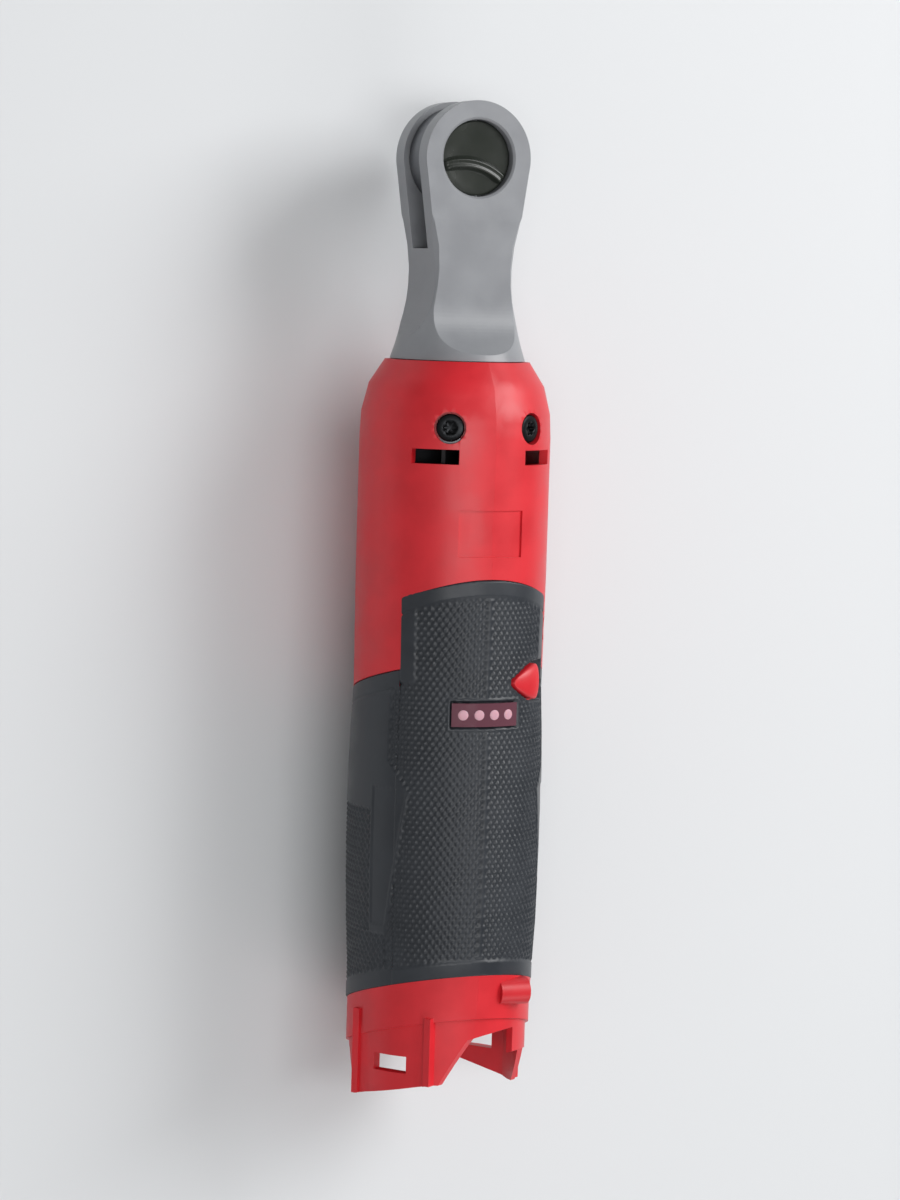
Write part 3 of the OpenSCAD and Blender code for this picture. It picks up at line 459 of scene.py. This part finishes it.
class GripPattern:
    """Depth of the grip's moulded pattern below its smooth surface."""

    # Stations are in millimetres and clock angles in degrees, on either side of the handle
    PANEL_EDGE = ((0, 46), (131, 46), (131.01, 61), (151, 61), (158.7, 47), (193, 60), (300, 60))
    PANEL_FROM = 131   # station where the smooth flank panel widens
    PANEL_SIDE = 62    # clock angle past the panel's edge
    SUNK_FROM = 158    # station behind which the panel lies lower
    EDGE_TO = 193      # station where the panel's raised edge ends
    PATCH_FROM = 164   # the diamond patch on the flank, from here
    PATCH_TO = 195     # to here
    PATCH_CLOCK = 72   # and from this clock angle on

    def __init__(self, settings):
        self.size = settings
        low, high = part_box("gauge_lens")
        self.gauge_at = -centre("gauge_lens").y
        self.gauge_half = (high[1] - low[1]) / 2
        self.lock_at = -centre("lock_button").y

    @staticmethod
    def edge_at(points, station):
        """Clock angle of a line of points at a station."""
        for (s0, c0), (s1, c1) in zip(points, points[1:]):
            if s0 <= station <= s1:
                return c0 + (c1 - c0) * (station - s0) / (s1 - s0)
        return points[-1][1]

    def diamonds(self, along, around):
        """Rounded diamonds between two crossed families of grooves."""
        a = along / self.size.pitch_along
        b = around / self.size.pitch_around
        first = abs((a + b) % 1.0 - 0.5) * 2
        second = abs((a - b) % 1.0 - 0.5) * 2
        return self.size.relief * smoothstep(max(first, second), 0.1, 1.0)

    def depth(self, clock, station, first, last, radius):
        """Depth at a place; first and last are the grip's ends at that clock angle."""
        around = math.radians(clock) * radius
        side = abs(clock)
        ramp = 0.5 * MM
        station_mm = station / MM
        edge = self.edge_at(self.PANEL_EDGE, station_mm)
        inside = (math.radians(edge - side)) * radius
        front = station - first - self.size.border
        rear = last - self.size.border - station
        mask = smoothstep(front, 0, ramp) * smoothstep(rear, 0, ramp)
        notch = max(line_notch(front), line_notch(rear))
        panel = bead = 0.0
        if station_mm > self.PANEL_FROM or side < self.PANEL_SIDE:
            mask_side = smoothstep(inside, 0, ramp)
            if self.PATCH_FROM < station_mm < self.PATCH_TO and side > self.PATCH_CLOCK - 6:
                back = math.radians(side - self.PATCH_CLOCK) * radius
                mask_side = smoothstep(back, 0, ramp)
                bead = line_notch(back, 0.4 * MM, 0.25 * MM)
            elif station_mm >= self.PATCH_TO and side > self.PANEL_SIDE - 2:
                mask_side = smoothstep(station - self.PATCH_TO * MM, 0, ramp)
            mask *= mask_side
            if front > 0 and rear > 0 and station_mm < self.EDGE_TO:
                bead = max(bead, line_notch(inside, 0.5 * MM, 0.35 * MM))
                if station_mm > self.SUNK_FROM and side <= self.PATCH_CLOCK - 1:
                    panel = 0.22 * MM * smoothstep(-inside, 0, ramp)
        mask *= smoothstep(abs(around), 0.35 * MM, 0.7 * MM)
        depth = mask * self.diamonds(station, around) + (1 - mask) * panel
        depth = max(depth, notch) - bead
        return self.window(depth, clock, station, around, radius)

    def window(self, depth, clock, station, around, radius):
        """Frames and holes round the gauge and the lock button."""
        half_around = math.radians(GAUGE_HALF_CLOCK) * radius
        off_along = abs(station - self.gauge_at) - self.gauge_half
        off_around = abs(around) - half_around
        off = max(off_along, off_around)
        depth *= smoothstep(off, 1.0 * MM, 1.5 * MM)
        depth = max(depth, line_notch(off - 1.2 * MM, 0.4 * MM, 0.35 * MM))
        depth += 1.5 * MM * (1 - smoothstep(off, 0.35 * MM, 0.6 * MM))
        along = station - self.lock_at
        across = math.radians(clock - LOCK_CLOCK) * radius
        taper = smoothstep(across, -7.6 * MM, 3.4 * MM) ** 0.7
        off = max(abs(along) - 4.9 * MM * taper, across - 8.2 * MM, -across - 5.8 * MM)
        depth *= smoothstep(off, 0.5 * MM, 1.0 * MM)
        return depth + 3.4 * MM * (1 - smoothstep(off, 0.0, 0.35 * MM))


def grip_patch(bm, surface, pattern, clocks, spans, step):
    """One sheet of the grip between two clock angles, with its turned-in rims."""
    # [distance from the edge, depth] in millimetres
    rims = ((0.0, 1.7), (0.0, 0.55), (0.12, 0.2), (0.4, 0.0))
    rim = 0.6 * MM
    rows = []
    count = max(2, int(max(b - a for a, b in spans) / step))
    for clock, (first, last) in zip(clocks, spans):
        column = []
        inner = [first + r[0] * MM for r in rims] + [
            first + rim + (last - first - 2 * rim) * i / count for i in range(count + 1)
        ] + [last - r[0] * MM for r in reversed(rims)]
        sink = [r[1] * MM for r in rims] + [0] * (count + 1) + [r[1] * MM for r in reversed(rims)]
        for station, low in zip(inner, sink):
            radius = surface.radius(station)
            depth = pattern.depth(clock, station, first, last, radius)
            column.append(bm.verts.new(on_handle(clock, station, radius - max(depth, low))))
        rows.append(column)
    close_rows(bm, rows)
    return rows


def turn_in(bm, column, clock, towards):
    """Folds a patch's side edge down to the housing."""
    rows = [column]
    past_edge = 0.15
    for low in (0.35, 1.7):
        row = []
        for vert in column:
            flat = Vector((vert.co.x, 0, vert.co.z - AXIS_Z))
            radius = flat.length - low * MM
            row.append(bm.verts.new(
                on_handle(clock + towards * past_edge, -vert.co.y, radius)))
        rows.append(row)
    close_rows(bm, rows)


def build_grip(settings, material):
    """Rubber grip in two halves, with moulded diamonds, panels, lines and windows."""
    surface = HandleSurface()
    pattern = GripPattern(settings)
    degree_step = math.degrees(settings.step / surface.radius(MID_STATION))
    for name, side in (("grip_rubber_left", -1), ("grip_rubber_right", 1)):
        bm = bmesh.new()
        for low, high in ((0.0, FLANK_CLOCK), (FLANK_CLOCK, 180.0)):
            count = int((high - low) / degree_step)
            clocks = [side * (low + (high - low) * i / count) for i in range(count + 1)]
            inset = [min(max(abs(c), low + 0.3), high - 0.3) * side for c in clocks]
            spans = [surface.span(c) for c in inset]
            rows = grip_patch(bm, surface, pattern, clocks, spans, settings.step)
            if low == 0.0:
                turn_in(bm, rows[-1], clocks[-1], side)
        mesh = mesh_from(bm, name)
        node = "grip_left" if side < 0 else "grip_right"
        new_object(name, mesh, "tool", material, [node])


# ------------------------------------------------------------------ dial and lock button


def build_dial(material):
    """Direction dial: shallow dished face with a raised curved finger fin."""
    low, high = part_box("selector_dial")
    radius = (high[0] - low[0]) / 2
    top = high[2] - 1.5 * MM
    bm = bmesh.new()
    # [share of the radius, height in millimetres]
    profile = ((0, -0.25), (0.55, -0.2), (0.8, -0.12), (0.93, 0.0), (0.965, -0.02),
               (1.0, -0.25), (1.0, -1.9), (0, -1.9))
    right, ahead = Vector((1, 0, 0)), Vector((0, 1, 0))
    rings = []
    for share, height in profile:
        middle = Vector((0, 0, top + height * MM))
        if share == 0:
            rings.append([bm.verts.new(middle)])
        else:
            rings.append(ring(bm, middle, right, ahead, 96, lambda _, r=share * radius: r))
    close_rings(bm, rings)
    finger_fin(bm, radius, top)
    new_object("direction_dial", mesh_from(bm, "direction_dial"), "dial", material,
               ["selector_dial"])


def finger_fin(bm, radius, top):
    """Raised fin along an arc from the left edge to the lower right, grooved on its crest."""
    arc = 16 * MM
    start, end = 112, 42
    middle = Vector((-3.2 * MM, -1.2 * MM - arc))
    # [place across the fin, height] in millimetres
    section = ((-2.3, -0.3), (-1.35, 0.25), (-1.15, 1.05), (-0.95, 1.3), (-0.7, 1.35), (-0.4, 1.1),
               (0.1, 0.95), (0.5, 1.2), (0.75, 1.25), (0.95, 1.0), (1.15, 0.3), (2.1, -0.3))
    rows = []
    count = 48
    for i in range(count + 1):
        turn = math.radians(start - (start - end) * i / count)
        way = Vector((math.cos(turn), math.sin(turn)))
        row = []
        for across, up in section:
            flat = middle + way * (arc + across * MM)
            reach = flat.length
            limit = radius * 0.97
            fade = 1 - smoothstep(reach, radius * 0.9, radius * 0.99)
            if reach > limit:
                flat = flat * (limit / reach)
            row.append(bm.verts.new((flat.x, flat.y, top + (up * fade - 0.1) * MM)))
        rows.append(row)
    close_rows(bm, rows)


def build_lock_button(material):
    """Lock-off button: half a cone lying on the grip, its base towards the right flank."""
    low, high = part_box("lock_button")
    out, along = handle_axes(LOCK_CLOCK)
    head = Vector((0, 1, 0))
    base = Vector((0, centre("lock_button").y, AXIS_Z))
    surface_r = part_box("grip_left")[1][2] - AXIS_Z - 0.6 * MM
    half_wide = (high[1] - low[1]) / 2 - 0.05 * MM
    bm = bmesh.new()
    # [place along the button, share of its width, rise over the grip] in millimetres
    stations = ((-5.5, 0.05, 0.0), (-5.3, 0.16, 0.12), (-4.4, 0.34, 0.38), (-2.8, 0.56, 0.78),
                (-1.0, 0.76, 1.15), (1.0, 0.92, 1.42), (2.5, 0.985, 1.5), (3.0, 0.99, 1.48),
                (3.25, 0.965, 1.3), (3.3, 0.93, 1.05))
    rows = []
    steps = 20
    for place, wide, rise in stations:
        middle = base + along * place * MM
        side = head * wide * half_wide
        foot = out * (surface_r - 3 * MM)
        row = [bm.verts.new(middle + side + foot)]
        for i in range(steps + 1):
            around = math.pi * i / steps
            z = surface_r + (math.sin(around) ** 0.8) * rise * MM - place * place * 0.02 * MM
            row.append(bm.verts.new(middle + side * math.cos(around) + out * z))
        row.append(bm.verts.new(middle - side + foot))
        rows.append(row)
    close_rows(bm, rows)
    bm.faces.new(rows[0])
    bm.faces.new(rows[-1])
    new_object("lock_wedge", mesh_from(bm, "lock_wedge"), "lock", material,
               ["lock_button"])


def build_screws(material):
    """Nose screws: button heads with a rounded rim and a six-lobed socket, on their shanks."""
    verts = [v.co for v in NODES["nose_screws"].data.vertices]
    low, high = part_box("nose_screws")
    wide = (high[1] - low[1]) / 2 / MM
    base = Vector((0, centre("nose_screws").y, AXIS_Z))
    head_way = Vector((0, 1, 0))
    nearest = 0.010
    bm = bmesh.new()
    for clock in SCREW_CLOCKS:
        out, along = handle_axes(clock)
        own = [v - base for v in verts if (v - base).dot(out) > nearest]
        top = max(v.dot(out) for v in own)
        end = min(v.dot(out) for v in own)
        # [radius, height under the head's top, depth of the lobes] in millimetres
        profile = ((1.3, -1.3, 0.22), (1.45, -1.25, 0.28), (1.5, -0.12, 0.28), (1.62, 0.0, 0.26),
                   (2.1, 0.0, 0.0), (wide - 0.45, -0.02, 0), (wide - 0.1, -0.16, 0),
                   (wide, -0.45, 0), (wide, -1.6, 0), (1.85, -1.62, 0),
                   (1.85, (end - top) / MM, 0))
        rings = [[bm.verts.new(base + out * (top + profile[0][1] * MM))]]
        for radius, height, lobe in profile:
            rings.append(ring(
                bm, base + out * (top + height * MM), along, head_way, 48,
                lambda a, r=radius, k=lobe: (r + k * math.cos(6 * a)) * MM))
        rings.append([bm.verts.new(base + out * end)])
        close_rings(bm, rings)
    mesh = mesh_from(bm, "nose_screw_heads")
    new_object("nose_screw_heads", mesh, "tool", material, ["nose_screws"])


def build_lamp_caps(material):
    """Four round lamp caps that show in the charge gauge's window."""
    low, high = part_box("gauge_lens")
    station = -centre("gauge_lens").y
    radius = high[2] - AXIS_Z
    cap = (high[1] - low[1]) * 0.23
    head_way = Vector((0, 1, 0))
    bm = bmesh.new()
    for clock in LAMP_CLOCKS:
        out, along = handle_axes(clock)
        middle = on_handle(clock, station, radius)
        rings = [[bm.verts.new(middle + out * 0.16 * MM)]]
        # [share of the cap's radius, rise over the window in millimetres]
        for share, rise in ((0.6, 0.14), (0.9, 0.06), (1.0, -0.06), (1.0, -0.6)):
            rings.append(ring(bm, middle + out * rise * MM, along, head_way, 32,
                              lambda _, r=cap * share: r))
        rings.append([bm.verts.new(middle - out * 0.6 * MM)])
        close_rings(bm, rings)
    new_object("gauge_lamp_caps", mesh_from(bm, "gauge_lamp_caps"), "tool", material)


# ------------------------------------------------------------------ operators


FINISHES = {}


def finishes():
    """The materials, made once and kept for every piece."""
    if not FINISHES:
        colours = bpy.context.scene.ratchet_colours
        FINISHES.update({
            "red_shell": nylon_spark_textured(colours.red),
            "grip_rubber": tpe_overmoulded(colours.grip),
            "head_paint": steel_painted(colours.head),
            "dial_plastic": nylon_polished(colours.dial),
            "black_screw": steel_black_oxide(),
            "steel": steel_ground("steel_ground_bright", "#B4B6B9", 0.28),
            "dark_steel": steel_ground("steel_hardened_dark", "#6C6E72", 0.38),
            "bronze": steel_ground("bronze_sintered", "#A8824C", 0.4),
            "cast_aluminium": steel_ground("aluminium_die_cast", "#8E9094", 0.5),
            "copper": copper_enamelled(),
            "black_plastic": plain_moulding("nylon_black_moulded", "#1E1F22", 0.46),
            "circuit_board": board_solder_masked(),
            "gauge_window": acrylic_tinted(colours.gauge),
            "gauge_lamp": acrylic_frosted("lamp_cap_frosted", "#C99AA6"),
            "white_plastic": plain_moulding("acetal_white_moulded", "#D8D8D4", 0.4),
            "light_window": acrylic_frosted("window_clear_moulded", "#DCE4E8"),
            "wire_insulation": plain_moulding("silicone_red_extruded", "#A02020", 0.55, 0.5),
        })
    return FINISHES


class RATCHET_OT_finishes(bpy.types.Operator):
    """Give every CAD piece its finish, and round the edges of the moulded and forged ones."""

    bl_idname = "ratchet.finishes"
    bl_label = "Finishes"

    def execute(self, context):
        slots = {part["node"]: part["material_slot"] for part in frame["record"]["subparts"]}
        for node, obj in NODES.items():
            obj.data.materials.clear()
            obj.data.materials.append(finishes()[slots[node]])
        for node in ("housing_left", "housing_right"):
            soften(NODES[node], 0.3 * MM, 45)
        soften(NODES["head_housing"], 0.7 * MM, 30)
        for node in ("paddle", "shell_screws", "drive_anvil", "ratchet_yoke"):
            soften(NODES[node], 0.25 * MM)
        return {"FINISHED"}


class RATCHET_OT_grip(bpy.types.Operator):
    """Build the rubber grip in its two halves."""

    bl_idname = "ratchet.grip"
    bl_label = "Rubber grip"

    def execute(self, context):
        build_grip(context.scene.ratchet_grip, finishes()["grip_rubber"])
        return {"FINISHED"}


class RATCHET_OT_dial(bpy.types.Operator):
    """Build the direction dial with its finger fin."""

    bl_idname = "ratchet.dial"
    bl_label = "Direction dial"

    def execute(self, context):
        build_dial(finishes()["dial_plastic"])
        return {"FINISHED"}


class RATCHET_OT_screws(bpy.types.Operator):
    """Build the four nose screws with their sockets."""

    bl_idname = "ratchet.screws"
    bl_label = "Nose screws"

    def execute(self, context):
        build_screws(finishes()["black_screw"])
        return {"FINISHED"}


class RATCHET_OT_lamp_caps(bpy.types.Operator):
    """Build the lamp caps of the charge gauge."""

    bl_idname = "ratchet.lamp_caps"
    bl_label = "Gauge lamps"

    def execute(self, context):
        build_lamp_caps(finishes()["gauge_lamp"])
        return {"FINISHED"}


class RATCHET_OT_lock_button(bpy.types.Operator):
    """Build the wedge-shaped lock-off button."""

    bl_idname = "ratchet.lock_button"
    bl_label = "Lock button"

    def execute(self, context):
        build_lock_button(finishes()["red_shell"])
        return {"FINISHED"}


class RATCHET_OT_stage(bpy.types.Operator):
    """Add the floor, the studio lamps and the camera."""

    bl_idname = "ratchet.stage"
    bl_label = "Stage"

    def execute(self, context):
        scene = context.scene
        stage = scene.ratchet_stage
        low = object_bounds()[0][2]
        floor_size, clearance = 6, 0.02 * MM
        aim = Vector((0, -0.112, AXIS_Z))
        bpy.ops.mesh.primitive_plane_add(size=floor_size, location=(0, -0.11, low - clearance))
        floor = context.object
        floor.name = "studio_floor"
        material, tree, shader, place = new_material(
            "floor_matt_paper", stage.floor, **{"Roughness": 0.85})
        grain(tree, shader, place, 3.0, 0.02, 2.0)
        floor.data.materials.append(material)
        floor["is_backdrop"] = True
        # [name, place, width, height, watts]
        for name, spot, wide, tall, power in (
                ("key_softbox", (0.85, 0.45, 0.75), 0.7, 0.7, 12.5),
                ("top_strip", (-0.2, -0.1, 1.15), 0.25, 0.9, 5.0),
                ("fill_softbox", (-0.9, -0.5, 0.6), 1.0, 1.0, 0.7),
                ("rear_softbox", (0.3, -1.1, 0.7), 1.0, 0.6, 3.5)):
            data = bpy.data.lights.new(name, "AREA")
            data.shape = "RECTANGLE"
            data.size, data.size_y, data.energy = wide, tall, power
            lamp = bpy.data.objects.new(name, data)
            lamp.location = spot
            lamp.rotation_euler = (aim - lamp.location).to_track_quat("-Z", "Y").to_euler()
            scene.collection.objects.link(lamp)
        world = bpy.data.worlds.new("studio")
        scene.world = world
        world.use_nodes = True
        background = world.node_tree.nodes["Background"]
        background.inputs["Color"].default_value = (1, 1, 1, 1)
        background.inputs["Strength"].default_value = 0.24
        scene.view_settings.view_transform = "Standard"
        self.add_camera(scene, stage, aim)
        return {"FINISHED"}

    @staticmethod
    def add_camera(scene, stage, aim):
        """Camera over the left flank, with the handle nearly upright in the picture."""
        data = bpy.data.cameras.new("main_camera")
        data.lens = stage.lens
        camera = bpy.data.objects.new("main_camera", data)
        camera.location = Vector(stage.camera) + Vector((0, 0, AXIS_Z))
        toward = (aim - camera.location).normalized()
        lean = math.radians(1.9)
        upward = Vector((math.sin(-lean), math.cos(lean), 0))
        right = toward.cross(upward).normalized()
        true_up = right.cross(toward)
        turn = camera.rotation_euler.to_matrix()
        for row in range(3):
            turn[row][0], turn[row][1], turn[row][2] = right[row], true_up[row], -toward[row]
        camera.rotation_euler = turn.to_euler()
        scene.collection.objects.link(camera)
        scene.camera = camera


class RATCHET_PT_panel(bpy.types.Panel):
    """Sidebar panel with the ratchet's pieces."""

    bl_idname = "RATCHET_PT_panel"
    bl_label = "Ratchet"
    bl_space_type = "VIEW_3D"
    bl_region_type = "UI"
    bl_category = "Ratchet"

    def draw(self, context):
        layout = self.layout
        for group in (context.scene.ratchet_grip, context.scene.ratchet_colours,
                      context.scene.ratchet_stage):
            box = layout.box()
            for name in group.__annotations__:
                box.prop(group, name)
        for operator in PIECES:
            layout.operator(operator.bl_idname)


PIECES = (RATCHET_OT_finishes, RATCHET_OT_grip, RATCHET_OT_dial, RATCHET_OT_lock_button,
          RATCHET_OT_screws, RATCHET_OT_lamp_caps, RATCHET_OT_stage)
CLASSES = (RatchetGripSettings, RatchetColourSettings, RatchetStageSettings, *PIECES,
           RATCHET_PT_panel)


def register():
    """Adds the classes and the scene's settings."""
    for cls in CLASSES:
        bpy.utils.register_class(cls)
    bpy.types.Scene.ratchet_grip = PointerProperty(type=RatchetGripSettings)
    bpy.types.Scene.ratchet_colours = PointerProperty(type=RatchetColourSettings)
    bpy.types.Scene.ratchet_stage = PointerProperty(type=RatchetStageSettings)


def unregister():
    """Removes them again."""
    for name in ("ratchet_grip", "ratchet_colours", "ratchet_stage"):
        delattr(bpy.types.Scene, name)
    for cls in reversed(CLASSES):
        bpy.utils.unregister_class(cls)


def main():
    """Builds the pieces in order."""
    register()
    bpy.ops.ratchet.finishes()
    bpy.ops.ratchet.grip()
    bpy.ops.ratchet.dial()
    bpy.ops.ratchet.lock_button()
    bpy.ops.ratchet.screws()
    bpy.ops.ratchet.lamp_caps()
    bpy.ops.ratchet.stage()


if __name__ == "__main__":
    main()
